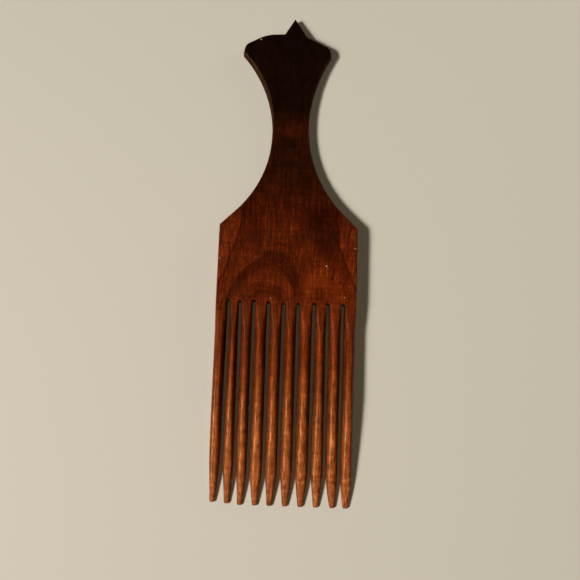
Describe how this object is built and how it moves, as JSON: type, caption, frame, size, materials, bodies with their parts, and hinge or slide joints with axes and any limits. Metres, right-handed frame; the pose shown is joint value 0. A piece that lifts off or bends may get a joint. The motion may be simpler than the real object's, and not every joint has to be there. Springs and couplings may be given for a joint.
{
  "type": "afro pick",
  "caption": "Carved wooden hair pick: long tapered teeth on a flat plate, with a waisted handle that flares to a head with a pointed crest.",
  "frame": {"origin": "on the flat back, at the middle of the outline's box", "axes": "+Y from the tooth tips to the crest of the handle, +Z out of the rounded front, +X right"},
  "size_m": [0.0636, 0.229, 0.008],
  "materials": {
    "handle_wood": "oiled, darkened by handling",
    "plate_wood": "oiled",
    "tooth_wood": "oiled, worn paler by use"
  },
  "bodies": {
    "root": {"handle": "handle_wood", "back_plate": "plate_wood", "tooth_01": "tooth_wood", "tooth_02": "tooth_wood", "tooth_03": "tooth_wood", "tooth_04": "tooth_wood", "tooth_05": "tooth_wood", "tooth_06": "tooth_wood", "tooth_07": "tooth_wood", "tooth_08": "tooth_wood", "tooth_09": "tooth_wood", "tooth_10": "tooth_wood"}
  },
  "joints": []
}
